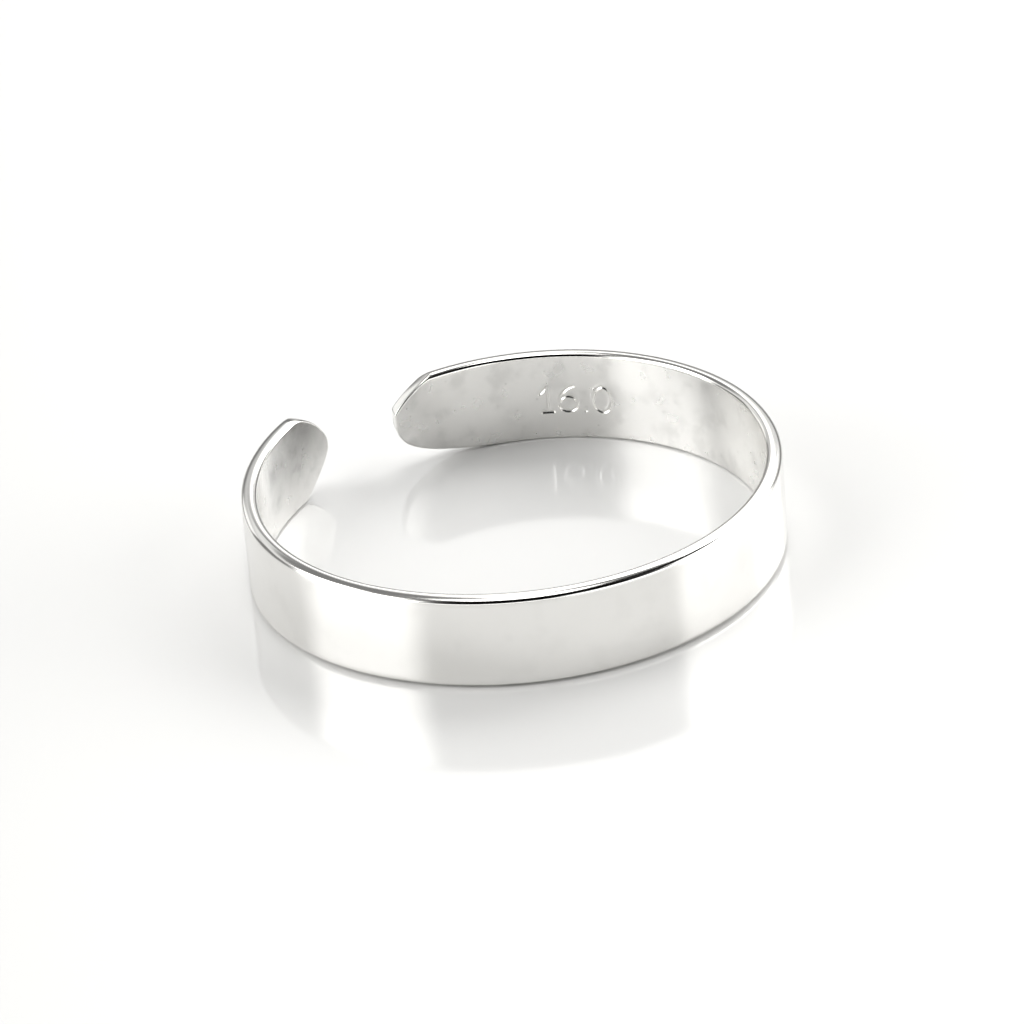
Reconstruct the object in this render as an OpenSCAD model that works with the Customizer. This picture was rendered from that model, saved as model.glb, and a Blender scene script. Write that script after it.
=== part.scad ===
// Open toe ring: one strip of silver, 3 mm high and 0.5 mm thick, bent by hand into a ring
// that can be squeezed or spread to fit. It lies on its side: the lower rim is on the plane
// z = 0, the toe goes through along Z, and the gap between the two snipped ends faces +Y.
// The origin is under the middle of the ring's own box. All sizes are in millimetres.

/* [Strip] */
// Height of the strip, which is the width of the worn band
strip_h = 3; // [2.4:0.1:6]
// Thickness of the strip
strip_t = 0.5; // [0.4:0.05:1]
// Radius that softens the four long edges
edge_r = 0.15; // [0.05:0.01:0.19]

/* [Bend] */
// Inside diameter of the front half, opposite the gap
inside_d = 16; // [12:0.5:24]
// Width of the gap between the two tips
tip_gap = 2.4; // [0.8:0.1:4]

/* [Ends] */
// How far back from the tips the corners are snipped off
snip_len = 1.5; // [0.8:0.1:2]
// Radius that softens the snipped edges
snip_r = 0.04; // [0.01:0.01:0.05]
// Angle by which the right tip is cut slanting, with its outer edge set back
right_slant = 28; // [0:1:40]
// The same angle of the left tip
left_slant = 0; // [0:1:40]

/* [Hidden] */
silver = [0.86, 0.855, 0.84];

// The strip follows two runs of tangent arcs that start at the front middle, on -Y, and
// turn towards the gap. The right run is bent in more at its end, and the left one less.
// Columns: inside radius as a share of the front's, sweep in degrees. A run's sweeps end
// on the middle of the gap, and its last arc stops half a gap short of that.
right_run = [
    [1.00, 73],
    [0.84, 120],
];
left_run = [
    [1.00, 67],
    [0.90, 52],
    [1.11, 58],
];
function radius_share(arc) = arc[0];
function sweep(arc) = arc[1];

// The snipped corners, each a quarter of a superellipse. Columns: length as a share of
// snip_len, drop as a share of strip_h, exponent of the curve: 1 is straight, 2 an ellipse.
right_top = [0.95, 0.28, 1.15];
right_low = [2.90, 0.60, 2.15];
left_top = [1.13, 0.47, 1.46];
left_low = [1.00, 0.46, 1.35];
function length_share(corner) = corner[0];
function drop_share(corner) = corner[1];
function exponent(corner) = corner[2];

// The two sides of the ring. Columns: run, top snip, low snip, slant of the tip.
right = [right_run, right_top, right_low, right_slant];
left = [left_run, left_top, left_low, left_slant];
function run_of(side) = side[0];
function top_of(side) = side[1];
function low_of(side) = side[2];
function slant_of(side) = side[3];

inside_r = inside_d / 2;
// Flats that round each edge
edge_flats = 3;
// Sections along the snipped end of a side
end_steps = 12;
// Turn from one section to the next along the rest of it, in degrees
turn_step = 3;

// Inside radius of arc i of a run
function arc_r(run, i) = inside_r * radius_share(run[i]);

// Inside radius at the tip of a run
function tip_r(run) = arc_r(run, len(run) - 1);

// Turn that half a gap takes off the end of a run, at the middle of the strip
function gap_turn(run) = (tip_gap / 2) / (tip_r(run) + strip_t / 2) * 180 / PI;

// Sweep of arc i
function arc_sweep(run, i) = sweep(run[i]) - (i == len(run) - 1 ? gap_turn(run) : 0);

// Turn from the front middle to the start of arc i
function swept(run, i) = i == 0 ? 0 : arc_sweep(run, i - 1) + swept(run, i - 1);

// Turn from the front middle to the tip
function whole_turn(run) = swept(run, len(run));

// Arc that a turn falls in
function arc_at(run, turn, i = 0) =
    i == len(run) - 1 || turn <= swept(run, i + 1) ? i : arc_at(run, turn, i + 1);

// Direction out of the ring at a turn, on a run that turns counterclockwise from -Y
function outwards(turn) = [sin(turn), -cos(turn)];

// Centre of arc i
function arc_centre(run, i) =
    i == 0
    ? [0, 0]
    : arc_centre(run, i - 1)
      + (arc_r(run, i - 1) - arc_r(run, i)) * outwards(swept(run, i));

// Point at a turn, so far out from the inner wall
function wall_point(run, turn, out) =
    let (i = arc_at(run, turn)) arc_centre(run, i) + (arc_r(run, i) + out) * outwards(turn);

// Turn at a distance back from the tip, measured on the last arc's inner wall
function turn_at(run, back) = whole_turn(run) - back / tip_r(run) * 180 / PI;

// How far back a snip reaches, and the longer one of a side
function snip_reach(corner) = snip_len * length_share(corner);
function reach(side) = max(snip_reach(top_of(side)), snip_reach(low_of(side)));

// Height that a snip takes off the rim at a distance back from the tip
function taken(corner, back) =
    let (left_over = max(0, 1 - back / snip_reach(corner)), n = exponent(corner))
    strip_h * drop_share(corner) * (1 - pow(1 - pow(left_over, n), 1 / n));

// Radius of an edge where a snip has taken that height off its rim: the long edge's own
// radius where the rim is whole, and the snip's where the long edge is cut away
function radius_at(cut) =
    let (whole_share = max(0, 1 - cut / edge_r))
    min(snip_r, edge_r) + max(0, edge_r - snip_r) * whole_share * whole_share;

// Points that round one edge, about the given centre, from the given angle on
function edge_round(out, height, r, from) = [
    for (k = [0 : edge_flats])
        let (a = from + k * 90 / edge_flats) [out + r * cos(a), height + r * sin(a)]
];

// Section through the strip between two heights, as points [out, height]
function strip_section(low, low_r, top, top_r) = concat(
    edge_round(strip_t - top_r, top - top_r, top_r, 0),
    edge_round(top_r, top - top_r, top_r, 90),
    edge_round(low_r, low + low_r, low_r, 180),
    edge_round(strip_t - low_r, low + low_r, low_r, 270)
);

// The section of a side in its place, at a distance back from the tip. A slanting tip sets
// the outer points back, and the slant fades out over the reach of the snips.
function placed_section(side, back) =
    let (
        low_cut = taken(low_of(side), back),
        top_cut = taken(top_of(side), back),
        share = min(1, back / reach(side)),
        slope = tan(slant_of(side)) * (1 - share * share)
    )
    [
        for (q = strip_section(low_cut, radius_at(low_cut), strip_h - top_cut, radius_at(top_cut)))
            let (turn = turn_at(run_of(side), back + q.x * slope))
            concat(wall_point(run_of(side), turn, q.x), q.y)
    ];

// Distances back from the tip at which a side's sections stand, from the tip to the front
// middle. They are closest at the tip, where the snips are steepest.
function stations(side) =
    let (
        run = run_of(side),
        rest_turn = turn_at(run, reach(side)),
        steps = ceil(rest_turn / turn_step),
        step = rest_turn * PI / 180 * tip_r(run) / steps
    )
    concat(
        [for (k = [0 : end_steps]) reach(side) * (1 - cos(90 * k / end_steps))],
        [for (k = [1 : steps]) reach(side) + step * k]
    );

// All sections from the right tip past the front middle to the left tip. The left side is
// mirrored, and leaves out its last section, which is the right side's too.
right_sections = [for (back = stations(right)) placed_section(right, back)];
left_sections = [
    for (back = stations(left)) [for (p = placed_section(left, back)) [-p.x, p.y, p.z]]
];
sections = concat(
    right_sections,
    [for (k = [len(left_sections) - 2 : -1 : 0]) left_sections[k]]
);

count = len(sections);
around = len(sections[0]);
ring_points = [for (s = sections, p = s) p];

// Middle of a tip's face
function tip_middle(section, k = 0) =
    k == around ? [0, 0, 0] : section[k] / around + tip_middle(section, k + 1);

// Number of point k of section s
function number(s, k) = s * around + k % around;

// Faces of the skin, two to each stretch of an edge from one section to the next
skin = [
    for (s = [0 : count - 2], k = [0 : around - 1], first = [true, false])
        first
        ? [number(s, k), number(s + 1, k), number(s + 1, k + 1)]
        : [number(s, k), number(s + 1, k + 1), number(s, k + 1)]
];
right_tip = [for (k = [0 : around - 1]) [count * around, number(0, k), number(0, k + 1)]];
left_tip = [
    for (k = [0 : around - 1])
        [count * around + 1, number(count - 1, k + 1), number(count - 1, k)]
];

// Middle of the ring's own box, seen from above
ring_x = [for (p = ring_points) p.x];
ring_y = [for (p = ring_points) p.y];
box_middle = [(min(ring_x) + max(ring_x)) / 2, (min(ring_y) + max(ring_y)) / 2];

// The whole ring, one solid
module band() {
    color(silver)
        translate([-box_middle.x, -box_middle.y, 0])
            polyhedron(
                points = concat(
                    ring_points,
                    [tip_middle(sections[0]), tip_middle(sections[count - 1])]
                ),
                faces = concat(skin, right_tip, left_tip)
            );
}

band();
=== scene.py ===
"""Open toe ring of hand-bent silver strip, lying on its lower rim on a glossy pale floor.

The ring is one surface: a strip is laid out flat, with its distance along the inner wall and
its height as the two coordinates, and is then wrapped along the plan of the ring. Lengths are
in millimetres until the mesh is written, because the ring is only 17 mm wide.
"""
import logging
import math
from dataclasses import dataclass, field
from enum import Enum

import bpy
import numpy as np
from mathutils import Matrix, Vector


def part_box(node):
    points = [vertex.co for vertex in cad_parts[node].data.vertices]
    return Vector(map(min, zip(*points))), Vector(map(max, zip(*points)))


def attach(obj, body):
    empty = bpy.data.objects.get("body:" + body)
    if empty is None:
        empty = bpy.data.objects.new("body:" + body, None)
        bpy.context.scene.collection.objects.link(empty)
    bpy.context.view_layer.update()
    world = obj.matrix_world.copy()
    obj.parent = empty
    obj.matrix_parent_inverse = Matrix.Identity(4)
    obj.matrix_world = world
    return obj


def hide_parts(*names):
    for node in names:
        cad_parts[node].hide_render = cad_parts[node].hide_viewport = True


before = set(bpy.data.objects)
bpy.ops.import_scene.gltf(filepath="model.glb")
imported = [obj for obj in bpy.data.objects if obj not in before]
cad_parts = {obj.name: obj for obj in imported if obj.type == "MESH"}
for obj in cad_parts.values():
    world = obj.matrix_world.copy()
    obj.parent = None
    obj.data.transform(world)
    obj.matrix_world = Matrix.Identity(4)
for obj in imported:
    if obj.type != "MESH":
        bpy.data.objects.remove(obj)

LOG = logging.getLogger("toe_ring")
MM = 0.001
NODE = "band"
BODY = "root"


class Way(Enum):
    """The side of the front middle that a run of the strip turns to."""

    RIGHT = 1
    LEFT = -1


def smooth(value: np.ndarray) -> np.ndarray:
    """Eases a share from 0 to 1: three of its squares less two of its cubes, held at the ends."""
    share = np.clip(value, 0.0, 1.0)
    return share * share * (3.0 - 2.0 * share)


def line_gap(
    along: np.ndarray, up: np.ndarray, line: np.ndarray, height: np.ndarray,
    slices: int = 160, margin: float = 0.4,
) -> np.ndarray:
    """Distances of points from a curve that is given as heights along a line.

    The nearest of the curve's points is found in slices of the strip. The distance is the
    least one from the two stretches that meet there.

    Args:
        along: places of the points along the line.
        up: their heights.
        line: places of the curve's points, in growing order.
        height: heights of the curve.
        slices: number of slices.
        margin: how far past a slice the curve is searched.

    Returns:
        The distances, which are exact up to the margin.
    """
    gaps = np.empty(len(along))
    for part in np.array_split(np.argsort(along, kind="stable"), slices):
        first = max(0, np.searchsorted(line, along[part].min() - margin) - 1)
        last = min(len(line), np.searchsorted(line, along[part].max() + margin) + 1)
        x, z = line[first:last], height[first:last]
        far = (along[part, None] - x) ** 2 + (up[part, None] - z) ** 2
        nearest = far.argmin(axis=1)
        best = far.min(axis=1)
        for start in (np.maximum(nearest - 1, 0), np.minimum(nearest, len(x) - 2)):
            step_x, step_z = x[start + 1] - x[start], z[start + 1] - z[start]
            off_x, off_z = along[part] - x[start], up[part] - z[start]
            share = np.clip((off_x * step_x + off_z * step_z) / (step_x**2 + step_z**2), 0, 1)
            gap = (off_x - share * step_x) ** 2 + (off_z - share * step_z) ** 2
            best = np.minimum(best, gap)
        gaps[part] = np.sqrt(best)
    return gaps


@dataclass(frozen=True)
class Snip:
    """One snipped corner of the strip, a quarter of a superellipse."""

    length: float
    drop: float
    exponent: float

    def scaled(self, length: float, drop: float) -> "Snip":
        """The same snip with its length and drop, which are shares, as real sizes."""
        return Snip(self.length * length, self.drop * drop, self.exponent)

    def taken(self, back: np.ndarray) -> np.ndarray:
        """Height that the snip takes off the rim.

        With q as the share of the snip's length that is left ahead, the height is the drop
        times one less the n-th root of one less q to the n.

        Args:
            back: distances back from the tip, in mm.

        Returns:
            The heights taken, in mm.
        """
        ahead = np.clip(1.0 - back / self.length, 0.0, 1.0)
        root = (1.0 - ahead**self.exponent) ** (1.0 / self.exponent)
        return self.drop * (1.0 - root)


@dataclass(frozen=True)
class Half:
    """The shape of one half of the ring, apart from its sizes.

    Each arc has its inside radius as a share of the front's, and its sweep in degrees. The
    sweeps end on the middle of the gap. A snip's length is a share of the ring's snips, and
    its drop a share of the strip's height. The slant is the angle of the tip's cut in degrees.
    """

    way: Way
    arcs: tuple[tuple[float, float], ...]
    top: Snip
    low: Snip
    slant: float = 0.0


@dataclass(frozen=True)
class Run:
    """One half of the ring's plan at its real size: tangent arcs from the front to a tip."""

    way: Way
    radii: tuple[float, ...]
    sweeps: tuple[float, ...]
    top: Snip
    low: Snip
    slant: float

    @property
    def lengths(self) -> np.ndarray:
        """Lengths of the arcs on the inner wall."""
        return np.array(self.radii) * np.radians(self.sweeps)

    @property
    def length(self) -> float:
        """Length of the run on the inner wall."""
        return float(self.lengths.sum())

    @property
    def reach(self) -> float:
        """How far back from the tip the longer snip reaches."""
        return max(self.top.length, self.low.length)

    def setback(self, distance: np.ndarray, out: np.ndarray) -> np.ndarray:
        """How far the slanting tip sets points of the strip back.

        It is the distance out times the slant's tangent, and fades by the square of the
        distance from the tip over the snips' reach.

        Args:
            distance: distances from the front middle along the inner wall.
            out: distances out from the inner wall.

        Returns:
            The setbacks, in mm.
        """
        share = np.clip((self.length - distance) / self.reach, 0.0, 1.0)
        return out * math.tan(math.radians(self.slant)) * (1.0 - share**2)

    def place(self, distance: np.ndarray, out: np.ndarray) -> tuple[np.ndarray, np.ndarray]:
        """Wraps points of the flat strip along the arcs.

        A point's turn is the sum of the sweeps before its arc and its distance along the arc
        over the arc's radius. Its place is the arc's centre plus the radius, with the
        distance out from the inner wall added, in the direction of the turn.

        Args:
            distance: distances from the front middle along the inner wall, 0 or more.
            out: distances out from the inner wall.

        Returns:
            X and Y of the points, in mm, about the centre of the front arc.
        """
        radii = np.array(self.radii)
        starts = np.concatenate([[0.0], np.cumsum(self.lengths)[:-1]])
        turns = np.concatenate([[0.0], np.cumsum(np.radians(self.sweeps))])
        steps = (radii[:-1] - radii[1:])[:, None] * np.stack(
            [np.sin(turns[1:-1]), -np.cos(turns[1:-1])], axis=1
        )
        centres = np.concatenate([np.zeros((1, 2)), np.cumsum(steps, axis=0)])
        arc = np.clip(np.searchsorted(starts, distance, side="right") - 1, 0, len(radii) - 1)
        turn = turns[arc] + (distance - starts[arc]) / radii[arc]
        x = centres[arc, 0] + (radii[arc] + out) * np.sin(turn)
        y = centres[arc, 1] - (radii[arc] + out) * np.cos(turn)
        return self.way.value * x, y


@dataclass(frozen=True)
class Stroke:
    """An arc of an ellipse that a punch leaves, or a straight line where end is given."""

    centre: tuple[float, float]
    radii: tuple[float, float] = (0.0, 0.0)
    sweep: tuple[float, float] = (0.0, 0.0)
    end: tuple[float, float] | None = None

    def points(self, count: int = 48) -> np.ndarray:
        """Points along the stroke: on the ellipse by even angles, or evenly on the line.

        Args:
            count: number of points.

        Returns:
            An array of points, across and up, in shares of the digit's height.
        """
        share = np.linspace(0.0, 1.0, count)[:, None]
        start = np.array(self.centre)
        if self.end is not None:
            return start + share * (np.array(self.end) - start)
        low, high = np.radians(self.sweep)
        angle = low + share * (high - low)
        turned = np.concatenate([np.cos(angle), np.sin(angle)], axis=1)
        return start + turned * np.array(self.radii)


@dataclass(frozen=True)
class Digit:
    """A punched digit: its width and its strokes, in shares of its height."""

    width: float
    strokes: tuple[Stroke, ...]


DIGITS = {
    "1": Digit(0.46, (
        Stroke((0.28, 0.0), end=(0.28, 1.0)),
        Stroke((0.28, 1.0), end=(0.02, 0.74)),
        Stroke((0.08, 0.0), end=(0.48, 0.0)),
    )),
    "6": Digit(0.70, (
        Stroke((0.35, 0.31), (0.33, 0.30), (0.0, 360.0)),
        Stroke((0.72, 0.32), (0.70, 0.70), (104.0, 178.0)),
    )),
    "0": Digit(0.72, (
        Stroke((0.36, 0.50), (0.34, 0.50), (0.0, 360.0)),
    )),
    ".": Digit(0.12, (
        Stroke((0.06, 0.02), end=(0.06, 0.06)),
    )),
}


@dataclass(frozen=True)
class SizeMark:
    """The inside diameter in millimetres, punched into the inner face near the right end.

    Its middle is back from the right tip and up from the floor by those distances. The edge
    of a stroke, and the middle and the width of the burr beside it, are shares of the stroke.
    """

    label: str = "16.0"
    height: float = 0.88
    gap: float = 0.19
    stroke: float = 0.10
    depth: float = 0.042
    burr: float = 0.006
    back: float = 6.16
    middle: float = 1.40
    edge: float = 0.62
    burr_middle: float = 0.75
    burr_width: float = 0.22

    @property
    def width(self) -> float:
        """Width of the whole mark."""
        digits = sum(DIGITS[character].width for character in self.label) * self.height
        return digits + self.gap * (len(self.label) - 1)

    def points(self) -> np.ndarray:
        """Points along all strokes.

        Returns:
            An array of points, across and up from the mark's middle, in mm.
        """
        start = -self.width / 2
        found = []
        for character in self.label:
            digit = DIGITS[character]
            corner = np.array([start, -self.height / 2])
            found += [stroke.points() * self.height + corner for stroke in digit.strokes]
            start += digit.width * self.height + self.gap
        return np.concatenate(found)

    def sunk(self, across: np.ndarray, up: np.ndarray) -> np.ndarray:
        """Depth of the punched digits.

        It is deepest in the middle of a stroke, eases to nothing at the stroke's edge, and
        rises just outside in a low burr shaped as a bell curve.

        Args:
            across: distances from the mark's middle along the wall, in mm.
            up: heights from the mark's middle, in mm.

        Returns:
            Depths into the wall, in mm, below zero on the burr.
        """
        result = np.zeros(across.shape)
        near = (np.abs(across) < self.width) & (np.abs(up) < self.height)
        spots = np.stack([across[near], up[near]], axis=1)
        marks = self.points()
        gap = np.sqrt(((spots[:, None, :] - marks[None, :, :]) ** 2).sum(axis=2)).min(axis=1)
        sunk = self.depth * smooth(1.0 - gap / (self.stroke * self.edge))
        off_burr = (gap - self.stroke * self.burr_middle) / (self.stroke * self.burr_width)
        result[near] = sunk - self.burr * np.exp(-(off_burr**2))
        return result


@dataclass(frozen=True)
class Rounding:
    """How the edges of one face are rounded, in mm.

    The radius is that of the long edges, and cut_r that of the snipped ones. The crown is how
    much wider than deep the rounding is, which makes the rim a bow over nearly its whole
    thickness.
    """

    radius: float
    cut_r: float
    crown: float

    def radii(self, cut: np.ndarray) -> np.ndarray:
        """Radii of an edge where a snip has taken those heights off its rim.

        It is the long edges' where the rim is whole, and eases to the cuts' by the square of
        the share of it that is left.

        Args:
            cut: heights taken off.

        Returns:
            The radii.
        """
        whole = np.clip(1.0 - cut / self.radius, 0.0, 1.0)
        return self.cut_r + (self.radius - self.cut_r) * whole**2

    def sunk(self, gap: np.ndarray, radii: np.ndarray) -> np.ndarray:
        """Depths below the face at distances from an edge.

        With d as the distance and r as the radius, it is r less the root of r squared less
        the square of r minus d, times the crown.

        Args:
            gap: distances from the edge.
            radii: radii of the edge there.

        Returns:
            The depths.
        """
        inset = np.clip(radii - gap, 0.0, None)
        return self.crown * (radii - np.sqrt(np.clip(radii**2 - inset**2, 0.0, None)))


@dataclass(frozen=True)
class Ripple:
    """A sine over the flat strip: radians for each mm along and up, its phase and its share."""

    along: float
    up: float
    phase: float
    share: float

    def at(self, along: np.ndarray, up: np.ndarray) -> np.ndarray:
        """Its height at points of the strip, in shares of the whole unevenness."""
        return np.sin(along * self.along + up * self.up + self.phase) * self.share


@dataclass(frozen=True)
class TipShade:
    """Painted shade on the inner face near the tips, darker colour standing in for the darker
    reflections there: distances from the tips in mm, and shares.

    Near the right tip the painted shade grows towards the tip, over its reach. Near the left tip
    it is a blotch round a place behind the tip, whole as far as one distance from it and gone at
    another, and it grows from a share at the foot by a rise over the strip's height.
    """

    right_share: float = 0.45
    right_reach: float = 3.0
    left_back: float = 2.2
    left_whole: float = 0.96
    left_gone: float = 2.56
    foot: float = 0.05
    rise: float = 1.1

    def near_right(self, back: np.ndarray) -> np.ndarray:
        """Share of painted shade at distances back from the right tip."""
        return self.right_share * smooth(1.0 - back / self.right_reach)

    def near_left(self, back: np.ndarray, tall: np.ndarray) -> np.ndarray:
        """Share of painted shade near the left tip.

        It is the product of two eased steps, one for the distance from the blotch's middle
        and one for the height.

        Args:
            back: distances back from the left tip, in mm.
            tall: heights as shares of the strip's.

        Returns:
            The shares.
        """
        off = np.abs(back - self.left_back)
        blotch = smooth((self.left_gone - off) / (self.left_gone - self.left_whole))
        return blotch * smooth(tall * self.rise + self.foot)


@dataclass(frozen=True)
class Spacing:
    """Distances between the columns of the grid, in mm.

    They are finest at the tips and over the mark, and grow by a share of the distance from a
    tip and of the distance past the mark's margin, up to the body's.
    """

    body: float = 0.24
    tip: float = 0.003
    tip_growth: float = 0.10
    mark: float = 0.02
    mark_growth: float = 0.3
    mark_margin: float = 0.12

    def at(self, to_tip: np.ndarray, off_mark: np.ndarray) -> np.ndarray:
        """Distances between the columns at places along the strip.

        Args:
            to_tip: distances of the places from the nearer tip.
            off_mark: distances from the mark's ends, below zero between them.

        Returns:
            The least of the body's, the tip's and the mark's distances.
        """
        near_tip = self.tip + self.tip_growth * to_tip
        near_mark = self.mark + self.mark_growth * np.maximum(0.0, off_mark - self.mark_margin)
        return np.minimum(np.minimum(self.body, near_tip), near_mark)


@dataclass
class Rows:
    """Rows of the grid on the flat strip, with a point for each column.

    The arrays hold heights, distances out from the inner wall, distances round the strip from
    the outer face's foot, and shares to which the metal is satin.
    """

    up: np.ndarray
    out: np.ndarray
    girth: np.ndarray
    satin: np.ndarray


@dataclass
class Laid:
    """What the mesh's points carry: their place on the flat strip, and two shares, the second
    of them painted shade near the tips.
    """

    along: np.ndarray
    girth: np.ndarray
    satin: np.ndarray
    # share of painted shade near the tips
    darkening: np.ndarray


@dataclass
class OpenBand:
    """The ring: one strip with softened edges, snipped ends and a punched size, in mm."""

    height: float
    thickness: float = 0.5
    inside_r: float = 8.0
    tip_gap: float = 2.4
    snip: float = 1.5
    right_half: Half = Half(
        Way.RIGHT, ((1.00, 73.0), (0.84, 120.0)),
        top=Snip(0.95, 0.28, 1.15), low=Snip(2.90, 0.60, 2.15), slant=28.0,
    )
    left_half: Half = Half(
        Way.LEFT, ((1.00, 67.0), (0.90, 52.0), (1.11, 58.0)),
        top=Snip(1.13, 0.47, 1.46), low=Snip(1.00, 0.46, 1.35),
    )
    outer_edge: Rounding = Rounding(radius=0.18, cut_r=0.06, crown=1.70)
    inner_edge: Rounding = Rounding(radius=0.14, cut_r=0.07, crown=1.25)
    inner_low_edge: Rounding = Rounding(radius=0.07, cut_r=0.05, crown=1.25)
    ripple: float = 0.004
    ripples: tuple[Ripple, ...] = (
        Ripple(0.9, 0.0, 0.4, 0.5),
        Ripple(2.1, 0.5, 1.3, 0.3),
        Ripple(4.3, -0.9, 0.0, 0.2),
    )
    still: float = 2.0
    polished: float = 0.006
    # painted shade near the tips, standing in for darker reflections on the inner face
    tip_shading: TipShade = TipShade()
    spacing: Spacing = Spacing()
    inner_rows: int = 132
    outer_rows: int = 22
    edge_rows: int = 8
    rim_rows: int = 1
    mark: SizeMark = SizeMark()
    right: Run = field(init=False)
    left: Run = field(init=False)

    def __post_init__(self) -> None:
        """Makes the two runs of the plan."""
        self.right = self.run(self.right_half)
        self.left = self.run(self.left_half)

    def run(self, half: Half) -> Run:
        """One half at its real size, whose last arc stops half the tips' gap short.

        Args:
            half: its shape.

        Returns:
            The run.
        """
        radii = tuple(self.inside_r * share for share, _ in half.arcs)
        sweeps = [sweep for _, sweep in half.arcs]
        sweeps[-1] -= math.degrees(self.tip_gap / 2 / (radii[-1] + self.thickness / 2))
        top, low = (snip.scaled(self.snip, self.height) for snip in (half.top, half.low))
        return Run(half.way, radii, tuple(sweeps), top, low, half.slant)

    def columns(self, samples: int = 60001) -> np.ndarray:
        """Distances along the strip at which the grid's columns stand.

        They are even steps of the running sum of one over the spacing.

        Args:
            samples: number of places at which the sum is worked out.

        Returns:
            Distances from the front middle, below zero on the left run.
        """
        start, stop = -self.left.length, self.right.length
        fine = np.linspace(start, stop, samples)
        to_tip = np.minimum(fine - start, stop - fine)
        off_mark = np.abs(fine - (stop - self.mark.back)) - self.mark.width / 2
        spacing = self.spacing.at(to_tip, off_mark)
        steps = np.concatenate([[0.0], np.cumsum(np.diff(fine) / spacing[1:])])
        count = int(math.ceil(steps[-1])) + 1
        return np.interp(np.linspace(0.0, steps[-1], count), steps, fine)

    def rims(self, along: np.ndarray) -> tuple[np.ndarray, np.ndarray]:
        """Heights of the two rims, less what the snips take off.

        Args:
            along: distances along the strip.

        Returns:
            Heights of the lower and of the upper rim.
        """
        back_right = self.right.length - along
        back_left = along + self.left.length
        low = self.right.low.taken(back_right) + self.left.low.taken(back_left)
        top = self.right.top.taken(back_right) + self.left.top.taken(back_left)
        return low, self.height - top

    def rows(
        self, along: np.ndarray, count: int, edge_r: float, narrow: float = 6.0
    ) -> np.ndarray:
        """Heights of a face's rows at each column.

        The rows next to a rim stand as a quarter circle's points do, and the others evenly
        between. Where the strip narrows to a tip, the rows draw together with it.

        Args:
            along: distances along the strip.
            count: number of rows between the two rounded edges.
            edge_r: radius of the face's long edges.
            narrow: height of the strip, in radii, below which the rows draw together.

        Returns:
            An array of heights, a column for each distance.
        """
        low, top = self.rims(along)
        tall = top - low
        squeeze = np.minimum(1.0, tall / (narrow * edge_r))
        angle = np.radians(np.linspace(0.0, 90.0, self.edge_rows))
        edge = edge_r * (1.0 - np.cos(angle))[:, None] * squeeze
        first, last = edge[-1], tall - edge[-1]
        share = np.linspace(0.0, 1.0, count + 2)[1:-1, None]
        middle = first + share * (last - first)
        return low + np.concatenate([edge, middle, (tall - edge)[::-1]])

    def worn(
        self, along: np.ndarray, up: np.ndarray, top_edge: Rounding, low_edge: Rounding,
        samples: int = 5201, reach: float = 3.0,
    ) -> np.ndarray:
        """How far a face has sunk where its edges are rounded.

        The deepest of the depths that belong to the two rims and the two tips counts.

        Args:
            along: distances along the strip.
            up: heights.
            top_edge: the rounding of the face's upper edge and its tips.
            low_edge: the rounding of its lower edge.
            samples: number of points on each rim.
            reach: how far from a rim the rounding is looked for, in radii.

        Returns:
            Depths below the face.
        """
        line = np.linspace(-self.left.length, self.right.length, samples)
        low, top = self.rims(line)
        low_here, top_here = self.rims(along)
        depth = np.zeros(along.shape)
        for height, cut, edge in ((low, low, low_edge), (top, self.height - top, top_edge)):
            near = np.abs(up - np.interp(along, line, height)) < reach * edge.radius
            gap = line_gap(along[near], up[near], line, height)
            radii = edge.radii(np.interp(along[near], line, cut))
            depth[near] = np.maximum(depth[near], edge.sunk(gap, radii))
        for end in (line[0], line[-1]):
            over = np.maximum(0.0, np.maximum(low_here - up, up - top_here))
            gap = np.hypot(along - end, over)
            depth = np.maximum(depth, top_edge.sunk(gap, np.full(gap.shape, top_edge.cut_r)))
        return depth

    def uneven(self, along: np.ndarray, up: np.ndarray) -> np.ndarray:
        """The slight waves of a strip that is bent by hand.

        It is the sum of the ripples less one, so that it never stands proud, times the
        ripples' size, and it fades out towards the tips.

        Args:
            along: distances along the strip.
            up: heights.

        Returns:
            Distances out from the even face, 0 or less.
        """
        waves = sum(ripple.at(along, up) for ripple in self.ripples)
        back = np.minimum(self.right.length - along, along + self.left.length)
        return self.ripple * (waves - 1.0) * smooth(back / self.still)

    def tip_shade_at(self, along: np.ndarray, up: np.ndarray) -> np.ndarray:
        """Share of painted shade on the inner face near the tips, standing in for darker
        reflections there: the sum of both ends' shares.

        Args:
            along: distances along the strip.
            up: heights.

        Returns:
            The shares, 0 where no shade is painted.
        """
        right = self.tip_shading.near_right(self.right.length - along)
        return right + self.tip_shading.near_left(along + self.left.length, up / self.height)

    def outer_face(self, columns: np.ndarray) -> Rows:
        """Rows of the outer face, from its foot up, polished.

        Args:
            columns: distances of the columns along the strip.

        Returns:
            The rows: the thickness, less what is worn off, plus the waves.
        """
        up = self.rows(columns, self.outer_rows, self.outer_edge.radius)
        along = np.broadcast_to(columns, up.shape)
        worn = self.worn(along, up, self.outer_edge, self.outer_edge)
        out = self.thickness - worn + self.uneven(along, up)
        return Rows(up, out, girth=up, satin=np.zeros(up.shape))

    def inner_face(self, columns: np.ndarray) -> Rows:
        """Rows of the inner face, from its top down, satin but for the worn edges.

        Args:
            columns: distances of the columns along the strip.

        Returns:
            The rows: what is worn off, plus the depth of the mark.
        """
        up = self.rows(columns, self.inner_rows, self.inner_edge.radius)[::-1]
        along = np.broadcast_to(columns, up.shape)
        worn = self.worn(along, up, self.inner_edge, self.inner_low_edge)
        across = self.right.length - self.mark.back - along
        out = worn + self.mark.sunk(across, up - self.mark.middle)
        girth = 2 * self.height + self.thickness - up
        return Rows(up, out, girth, satin=1.0 - smooth(worn / self.polished))

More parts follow.
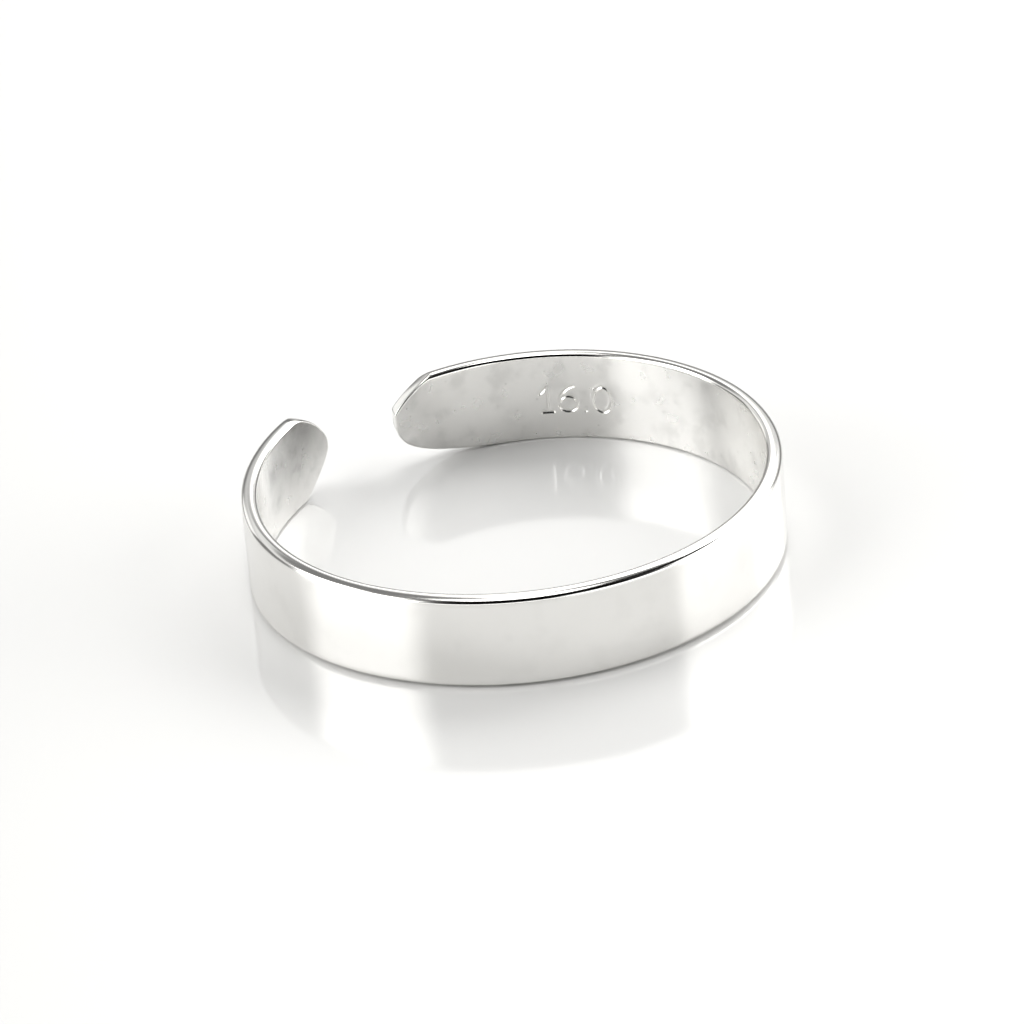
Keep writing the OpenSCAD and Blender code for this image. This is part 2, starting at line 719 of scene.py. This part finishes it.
    def rim(self, before: Rows, after: Rows, girth: float) -> Rows:
        """Polished rows across a rim, spread evenly from one face to the next.

        Args:
            before: rows of the face that ends at the rim.
            after: rows of the face that starts there.
            girth: distance round the strip at which the rim starts.

        Returns:
            The rows between the two faces.
        """
        share = np.linspace(0.0, 1.0, self.rim_rows + 2)[1:-1, None]
        out = before.out[-1] + share * (after.out[0] - before.out[-1])
        up = np.broadcast_to(before.up[-1], out.shape)
        level = np.zeros(out.shape)
        return Rows(up, out, girth + share * self.thickness + level, satin=level)

    def grid(self, columns: np.ndarray) -> Rows:
        """Rows all round: up the outer face, over the top, down the inner face, under the foot.

        Args:
            columns: distances of the columns along the strip.

        Returns:
            All rows.
        """
        outer, inner = self.outer_face(columns), self.inner_face(columns)
        top = self.rim(outer, inner, self.height)
        foot = self.rim(inner, outer, 2 * self.height + self.thickness)
        parts = (outer, top, inner, foot)
        return Rows(
            up=np.concatenate([part.up for part in parts]),
            out=np.concatenate([part.out for part in parts]),
            girth=np.concatenate([part.girth for part in parts]),
            satin=np.concatenate([part.satin for part in parts]),
        )

    def wrapped(self, along: np.ndarray, up: np.ndarray, out: np.ndarray) -> np.ndarray:
        """Wraps points of the flat strip round the ring's plan, each along its own run.

        Args:
            along: distances along the strip.
            up: heights.
            out: distances out from the inner wall.

        Returns:
            An array of points, with the front arc's centre on the Z axis.
        """
        x = np.empty(along.shape)
        y = np.empty(along.shape)
        for run in (self.right, self.left):
            mine = (along >= 0.0) == (run.way is Way.RIGHT)
            distance = np.abs(along[mine])
            back = run.setback(distance, out[mine])
            x[mine], y[mine] = run.place(distance - back, out[mine])
        return np.stack([x, y, up], axis=-1)

    @staticmethod
    def faces(tall: int, wide: int) -> list[list[int]]:
        """Faces of the closed skin: four-sided ones in the grid, and a fan over each tip.

        The middles of the two tips are the last two points.

        Args:
            tall: number of rows round the strip.
            wide: number of columns along it.

        Returns:
            The numbers of each face's points.
        """
        here = np.arange(tall * wide).reshape(tall, wide)
        above = np.roll(here, -1, axis=0)
        left_tip, right_tip = np.full(tall, tall * wide), np.full(tall, tall * wide + 1)
        quads = np.stack([here[:, :-1], here[:, 1:], above[:, 1:], above[:, :-1]], axis=-1)
        left_fan = np.stack([here[:, 0], above[:, 0], left_tip], axis=1)
        right_fan = np.stack([above[:, -1], here[:, -1], right_tip], axis=1)
        return quads.reshape(-1, 4).tolist() + left_fan.tolist() + right_fan.tolist()

    def build(self, low_corner: Vector, high_corner: Vector) -> bpy.types.Object:
        """Makes the ring's mesh, centred in the given box.

        Args:
            low_corner: lowest corner of the ring's box, in metres.
            high_corner: highest corner of it.

        Returns:
            The finished object.
        """
        columns = self.columns()
        rows = self.grid(columns)
        along = np.broadcast_to(columns, rows.up.shape)
        points = self.wrapped(along, rows.up, rows.out)
        tip_middles = points[:, [0, -1]].mean(axis=0)
        middle = (points.min(axis=(0, 1)) + points.max(axis=(0, 1))) / 2
        box_middle = (low_corner + high_corner) / 2
        place = np.array([box_middle.x, box_middle.y, low_corner.z])
        centred = np.concatenate([points.reshape(-1, 3), tip_middles]) - middle * [1, 1, 0]
        clean = np.zeros(len(tip_middles))
        laid = Laid(
            along=np.append(along, columns[[0, -1]]),
            girth=np.append(rows.girth, clean),
            satin=np.append(rows.satin, clean),
            # painted shade near the tips
            darkening=np.append(self.tip_shade_at(along, rows.up), clean),
        )
        return self.mesh(centred * MM + place, self.faces(*rows.up.shape), laid)

    def mesh(
        self, vertices: np.ndarray, faces: list[list[int]], laid: Laid
    ) -> bpy.types.Object:
        """Writes the arrays into a mesh, with its UV map and the two shares.

        Args:
            vertices: points in metres.
            faces: numbers of each face's points.
            laid: what the points carry.

        Returns:
            The object, at the origin.
        """
        data = bpy.data.meshes.new(NODE)
        data.from_pydata(vertices.tolist(), [], faces)
        corner = np.empty(len(data.loops), dtype=np.int32)
        data.loops.foreach_get("vertex_index", corner)
        uv = np.stack([laid.along[corner], laid.girth[corner]], axis=1)
        data.uv_layers.new(name="strip").data.foreach_set("uv", uv.reshape(-1).astype(np.float32))
        # the second attribute is the painted shade near the tips
        for name, values in (("inside", laid.satin), ("darkening", laid.darkening)):
            written = data.attributes.new(name, "FLOAT", "POINT")
            written.data.foreach_set("value", values.astype(np.float32))
        data.shade_smooth()
        data.validate()
        data.update()
        piece = bpy.data.objects.new("open_band", data)
        bpy.context.scene.collection.objects.link(piece)
        return piece


Socket = bpy.types.NodeSocket


@dataclass(frozen=True)
class Noise:
    """The scale of a noise for each unit of length, its number of octaves and their roughness."""

    scale: float
    detail: float = 2.0
    rough: float = 0.5


class Nodes:
    """Adds shader nodes to a tree and joins them."""

    def __init__(self, tree: bpy.types.NodeTree) -> None:
        """Starts with an empty tree."""
        self.tree = tree
        tree.nodes.clear()

    def add(self, kind: str, inputs: dict | None = None, **settings: object) -> bpy.types.Node:
        """Adds one node.

        Args:
            kind: the node's type.
            inputs: values or sockets for its inputs, by name or number.
            settings: its own settings.

        Returns:
            The node.
        """
        node = self.tree.nodes.new(kind)
        for name, value in settings.items():
            setattr(node, name, value)
        for name, value in (inputs or {}).items():
            if isinstance(value, Socket):
                self.tree.links.new(value, node.inputs[name])
            else:
                node.inputs[name].default_value = value
        return node

    def math(self, operation: str, *values: Socket | float) -> Socket:
        """One sum, product or other operation on sockets or numbers."""
        return self.add("ShaderNodeMath", dict(enumerate(values)), operation=operation).outputs[0]

    def ramp(
        self, value: Socket, low: float, high: float,
        start: Socket | float = 0.0, stop: Socket | float = 1.0,
    ) -> Socket:
        """Eases from start to stop while a value goes from low to high.

        Args:
            value: the socket to follow.
            low: value at which it starts.
            high: value at which it stops.
            start: result below low.
            stop: result above high.

        Returns:
            The result's socket.
        """
        inputs = {0: value, 1: low, 2: high, 3: start, 4: stop}
        return self.add("ShaderNodeMapRange", inputs, interpolation_type="SMOOTHSTEP").outputs[0]

    def attribute(self, name: str) -> Socket:
        """The share that the mesh's points carry under a name."""
        return self.add("ShaderNodeAttribute", attribute_name=name).outputs["Fac"]

    def stretched(self, place: Socket, scale: tuple[float, float, float]) -> Socket:
        """A place with its three parts scaled."""
        return self.add("ShaderNodeMapping", {"Vector": place, "Scale": scale}).outputs[0]

    def noise(self, place: Socket, kind: Noise) -> Socket:
        """Soft noise from 0 to 1 about a half."""
        inputs = {"Vector": place, "Scale": kind.scale, "Detail": kind.detail, "Roughness": kind.rough}
        return self.add("ShaderNodeTexNoise", inputs).outputs[0]


@dataclass(frozen=True)
class RingSilver:
    """Silver, polished outside and on the rims, and satin with stains and specks inside, with
    painted shade near the tips.

    Scales are for each millimetre, and heights in metres. A pair is the range over which an
    eased step goes.
    """

    colour: tuple[float, float, float] = (0.90, 0.892, 0.872)
    dark: tuple[float, float, float] = (0.0, 0.0, 0.0)
    outside_rough: float = 0.13
    inside_rough: float = 0.25
    rough_change: float = 0.16
    outside_change: float = 0.3
    grain: Noise = Noise(7.0)
    grain_height: float = 0.0000009
    wave: Noise = Noise(0.9, detail=1.0)
    wave_height: float = 0.000003
    scratch: Noise = Noise(3.0, detail=3.0, rough=0.6)
    scratch_height: float = 0.00000012
    scratch_scale: tuple[float, float, float] = (0.4, 3.0, 1.0)
    mottle: Noise = Noise(1.6, detail=3.0)
    stain_noise: Noise = Noise(1.1, detail=4.0, rough=0.55)
    stain_range: tuple[float, float] = (0.48, 0.68)
    stain: float = 0.13
    speck_scale: float = 2.6
    speck_size: tuple[float, float] = (0.05, 0.12)
    speck_range: tuple[float, float] = (0.42, 0.62)
    speck: float = 0.25
    # painted shade near the tips, standing in for darker reflections there
    tip_shade: float = 0.55
    tip_shade_range: tuple[float, float] = (0.25, 0.6)
    tip_shade_least: float = 0.8
    # share of the stains and of the painted shade that shows outside
    outside_darkening: float = 0.25

    def relief(self, nodes: Nodes, place: Socket, strip: Socket, inside: Socket) -> Socket:
        """Direction of the surface, bent by its finest forms.

        The height is the noise of the grain, inside only, plus those of the waves and of the
        scratches, each times its own height.

        Args:
            nodes: the material's nodes.
            place: the place in the ring, in mm.
            strip: the place on the flat strip, in mm.
            inside: the share that is satin.

        Returns:
            The normal's socket.
        """
        grain = nodes.math("MULTIPLY", nodes.noise(place, self.grain), self.grain_height)
        waves = nodes.math("MULTIPLY", nodes.noise(place, self.wave), self.wave_height)
        drawn = nodes.noise(nodes.stretched(strip, self.scratch_scale), self.scratch)
        scratches = nodes.math("MULTIPLY", drawn, self.scratch_height)
        fine = nodes.math("MULTIPLY", grain, inside)
        height = nodes.math("ADD", fine, nodes.math("ADD", waves, scratches))
        height = nodes.math("DIVIDE", height, MM)
        return nodes.add("ShaderNodeBump", {"Distance": MM, "Height": height, "Strength": 1.0}).outputs[0]

    def roughness(self, nodes: Nodes, mottle: Socket, inside: Socket) -> Socket:
        """Roughness: that of the polish or the satin, changed a little by soft noise.

        Args:
            nodes: the material's nodes.
            mottle: the noise, about a half.
            inside: the share that is satin.

        Returns:
            The roughness's socket.
        """
        base = nodes.ramp(inside, 0.0, 1.0, self.outside_rough, self.inside_rough)
        change = nodes.math("MULTIPLY", nodes.math("SUBTRACT", mottle, 0.5), self.rough_change)
        share = nodes.ramp(inside, 0.0, 1.0, self.outside_change, 1.0)
        return nodes.math("ADD", base, nodes.math("MULTIPLY", change, share))

    def stains_and_shade(self, nodes: Nodes, place: Socket, mottle: Socket, inside: Socket) -> Socket:
        """Share by which the metal is darkened.

        It is the sum of the stains, where a noise is high, of the specks, which are the
        middles of scattered cells where another noise is high, and of the painted shade near
        the tips, which stands in for darker reflections there. Less of it shows outside.

        Args:
            nodes: the material's nodes.
            place: the place in the ring, in mm.
            mottle: the noise that thins the specks out.
            inside: the share that is satin.

        Returns:
            The share's socket.
        """
        noise = nodes.noise(place, self.stain_noise)
        stains = nodes.math("MULTIPLY", nodes.ramp(noise, *self.stain_range), self.stain)
        cells = nodes.add("ShaderNodeTexVoronoi", {"Vector": place, "Scale": self.speck_scale})
        dots = nodes.ramp(cells.outputs[0], *self.speck_size, 1.0, 0.0)
        specks = nodes.math("MULTIPLY", dots, nodes.ramp(mottle, *self.speck_range))
        specks = nodes.math("MULTIPLY", specks, self.speck)
        # painted shade near the tips, made uneven by the stain noise
        uneven = nodes.ramp(noise, *self.tip_shade_range, self.tip_shade_least, 1.0)
        tip_shade = nodes.math("MULTIPLY", nodes.attribute("darkening"), uneven)
        tip_shade = nodes.math("MULTIPLY", tip_shade, self.tip_shade)
        darkening = nodes.math("ADD", nodes.math("ADD", stains, specks), tip_shade)
        return nodes.math("MULTIPLY", darkening, nodes.ramp(inside, 0.0, 1.0, self.outside_darkening, 1.0))

    def make(self) -> bpy.types.Material:
        """Makes the material.

        The place on the flat strip drives the scratches, and the place in the ring all else.

        Returns:
            The material.
        """
        material = bpy.data.materials.new("ring_silver")
        material.use_nodes = True
        nodes = Nodes(material.node_tree)
        spot = nodes.add("ShaderNodeTexCoord")
        place = nodes.stretched(spot.outputs["Object"], (1 / MM, 1 / MM, 1 / MM))
        inside = nodes.attribute("inside")
        mottle = nodes.noise(place, self.mottle)
        # real stains and specks plus painted shade near the tips
        darkening = self.stains_and_shade(nodes, place, mottle, inside)
        tone = nodes.add(
            "ShaderNodeMix", {0: darkening, 6: (*self.colour, 1.0), 7: (*self.dark, 1.0)},
            data_type="RGBA",
        )
        shader = nodes.add("ShaderNodeBsdfPrincipled", {
            "Base Color": tone.outputs[2],
            "Metallic": 1.0,
            "Roughness": self.roughness(nodes, mottle, inside),
            "Normal": self.relief(nodes, place, spot.outputs["UV"], inside),
        })
        nodes.add("ShaderNodeOutputMaterial", {0: shader.outputs[0]})
        return material


@dataclass(frozen=True)
class GlossyWhite:
    """The pale floor: white under a clear, glossy coat."""

    colour: tuple[float, float, float] = (0.72, 0.72, 0.715)
    rough: float = 0.5
    coat_rough: float = 0.09
    coat_ior: float = 1.7

    def make(self) -> bpy.types.Material:
        """Makes the material.

        Returns:
            The material.
        """
        material = bpy.data.materials.new("glossy_white")
        material.use_nodes = True
        nodes = Nodes(material.node_tree)
        shader = nodes.add("ShaderNodeBsdfPrincipled", {
            "Base Color": (*self.colour, 1.0),
            "Roughness": self.rough,
            "Specular IOR Level": 0.0,
            "Coat Weight": 1.0,
            "Coat Roughness": self.coat_rough,
            "Coat IOR": self.coat_ior,
        })
        nodes.add("ShaderNodeOutputMaterial", {0: shader.outputs[0]})
        return material


@dataclass(frozen=True)
class Patch:
    """A part of the studio's surround, seen from the ring, with soft edges.

    Azimuth is 0 towards the camera and grows to the right, from -124 to 236, and elevation is
    above the floor, both in degrees.
    """

    azimuth: tuple[float, float]
    elevation: tuple[float, float]
    soft: float
    level: float

    def over(self, nodes: Nodes, around: Socket, above: Socket, under: Socket | float) -> Socket:
        """Lays the patch over the surround.

        Each of its four edges is an eased step between the level under it and its own.

        Args:
            nodes: the surround's nodes.
            around: azimuth of the direction.
            above: elevation of the direction.
            under: the level under the patch.

        Returns:
            The level with the patch.
        """
        level = self.level
        half = self.soft / 2
        for value, (low, high) in ((around, self.azimuth), (above, self.elevation)):
            level = nodes.ramp(value, low - half, low + half, under, level)
            level = nodes.ramp(value, high - half, high + half, level, under)
        return level


@dataclass
class Studio:
    """The floor, the surround and the camera.

    The camera looks from its azimuth, elevation and distance at the aim on the floor. Its
    focal length is in pixels of a frame as wide as frame_px. Each patch replaces what is
    under it, and the first ones are the lowest.
    """

    azimuth: float = 38.60
    elevation: float = 28.142
    roll: float = -4.955
    distance: float = 0.197623
    focal_px: float = 6349.26
    frame_px: float = 1024.0
    sensor: float = 36.0
    nearest: float = 0.001
    aim: tuple[float, float] = (-0.0000254, 0.0026399)
    floor_half: float = 0.4
    light: tuple[float, float, float] = (1.0, 0.997, 0.985)
    seam: float = 236.0
    base_level: float = 0.22
    patches: tuple[Patch, ...] = (
        # Dark front, with a bright strip along the floor
        Patch((-44.0, 66.0), (8.0, 75.0), 8.0, 0.0),
        Patch((-44.0, 66.0), (-20.0, 8.0), 6.0, 1.6),
        Patch((20.0, 66.0), (-20.0, 20.0), 6.0, 1.6),
        Patch((66.0, 118.0), (39.0, 72.0), 8.0, 0.0),
        # Left side, brightest in its lower half
        Patch((-150.0, -98.0), (24.0, 37.0), 6.0, 0.75),
        Patch((-98.0, -43.0), (-20.0, 12.0), 8.0, 1.6),
        Patch((-98.0, -43.0), (12.0, 39.0), 18.0, 4.2),
        Patch((-118.0, -60.0), (36.0, 57.0), 8.0, 3.2),
        # Bright right side
        Patch((70.0, 125.0), (-20.0, 25.0), 12.0, 5.4),
        Patch((73.0, 125.0), (25.0, 39.0), 10.0, 3.1),
        # Back, bright on the right, white in the middle and grey on the left
        Patch((125.0, 172.0), (12.0, 24.0), 8.0, 0.9),
        Patch((121.0, 172.0), (24.0, 57.0), 8.0, 4.5),
        Patch((170.0, 187.0), (20.0, 80.0), 8.0, 1.5),
        Patch((187.0, 226.0), (15.0, 29.0), 9.0, 0.62),
        Patch((207.5, 226.0), (5.0, 22.0), 4.0, 1.15),
        Patch((156.0, 171.0), (14.0, 29.0), 5.0, 0.75),
        Patch((196.0, 250.0), (26.0, 37.0), 6.0, 0.88),
        # Bright ceiling
        Patch((-200.0, 320.0), (75.0, 100.0), 8.0, 3.6),
    )

    def floor(self) -> bpy.types.Object:
        """Makes the floor, a square under the ring.

        Returns:
            The floor's object.
        """
        h = self.floor_half
        data = bpy.data.meshes.new("floor")
        data.from_pydata([(-h, -h, 0), (h, -h, 0), (h, h, 0), (-h, h, 0)], [], [(0, 1, 2, 3)])
        data.materials.append(GlossyWhite().make())
        plane = bpy.data.objects.new("floor", data)
        bpy.context.scene.collection.objects.link(plane)
        return plane

    def directions(self, nodes: Nodes) -> tuple[Socket, Socket]:
        """Azimuth and elevation of the directions in which the surround is seen.

        The azimuth is the angle whose tangent is the direction's share across the view over
        its share towards the camera, and the elevation's sine is its share upwards.

        Args:
            nodes: the surround's nodes.

        Returns:
            Sockets of both angles, in degrees.
        """
        direction = nodes.add("ShaderNodeTexCoord").outputs["Generated"]
        angle = math.radians(self.azimuth)
        towards = (-math.sin(angle), -math.cos(angle), 0.0)
        right = (math.cos(angle), -math.sin(angle), 0.0)
        parts = [
            nodes.add("ShaderNodeVectorMath", {0: direction, 1: axis}, operation="DOT_PRODUCT")
            for axis in (right, towards, (0.0, 0.0, 1.0))
        ]
        across, near, up = (part.outputs["Value"] for part in parts)
        to_degrees = 180 / math.pi
        around = nodes.math("MULTIPLY", nodes.math("ARCTAN2", across, near), to_degrees)
        around = nodes.math("WRAP", around, self.seam, self.seam - 360.0)
        return around, nodes.math("MULTIPLY", nodes.math("ARCSINE", up), to_degrees)

    def surround(self) -> bpy.types.World:
        """Makes the surround: an even level with darker and brighter patches over it.

        Returns:
            The world.
        """
        world = bpy.data.worlds.new("studio")
        world.use_nodes = True
        nodes = Nodes(world.node_tree)
        around, above = self.directions(nodes)
        level = self.base_level
        for patch in self.patches:
            level = patch.over(nodes, around, above, level)
        light = nodes.add("ShaderNodeBackground", {"Color": (*self.light, 1.0), "Strength": level})
        nodes.add("ShaderNodeOutputWorld", {0: light.outputs[0]})
        bpy.context.scene.world = world
        return world

    def camera(self) -> bpy.types.Object:
        """Sets the camera at the photo's angle: behind the aim along the line of sight.

        Returns:
            The camera's object.
        """
        data = bpy.data.cameras.new("camera")
        data.sensor_width = self.sensor
        data.lens = self.focal_px / self.frame_px * self.sensor
        data.clip_start = self.nearest
        data.dof.use_dof = False
        camera = bpy.data.objects.new("camera", data)
        bpy.context.scene.collection.objects.link(camera)
        turn = Matrix.Rotation(math.radians(-self.azimuth), 4, "Z")
        tilt = Matrix.Rotation(math.radians(90.0 - self.elevation), 4, "X")
        roll = Matrix.Rotation(math.radians(self.roll), 4, "Z")
        aimed = turn @ Matrix.Translation(Vector((*self.aim, 0.0))) @ tilt
        camera.matrix_world = aimed @ Matrix.Translation((0, 0, self.distance)) @ roll
        bpy.context.scene.camera = camera
        return camera

    def colours(self) -> None:
        """Shows the light as it is, with white at full scale."""
        scene = bpy.context.scene
        scene.view_settings.view_transform = "Standard"
        scene.view_settings.look = "None"
        scene.cycles.use_denoising = True


def main() -> None:
    """Builds the ring on the box of the part in model.glb, as tall as it, and the studio."""
    logging.basicConfig(level=logging.INFO, format="%(name)s: %(message)s")
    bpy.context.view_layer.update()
    low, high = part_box(NODE)
    band = OpenBand(height=(high.z - low.z) / MM)
    piece = band.build(low, high)
    piece.data.materials.append(RingSilver().make())
    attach(piece, BODY)
    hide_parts(NODE)
    LOG.info("%s: %d vertices, %d faces", piece.name, len(piece.data.vertices),
             len(piece.data.polygons))
    studio = Studio()
    for made in (studio.floor(), studio.surround(), studio.camera()):
        LOG.info("studio: %s", made.name)
    studio.colours()


if __name__ == "__main__":
    main()
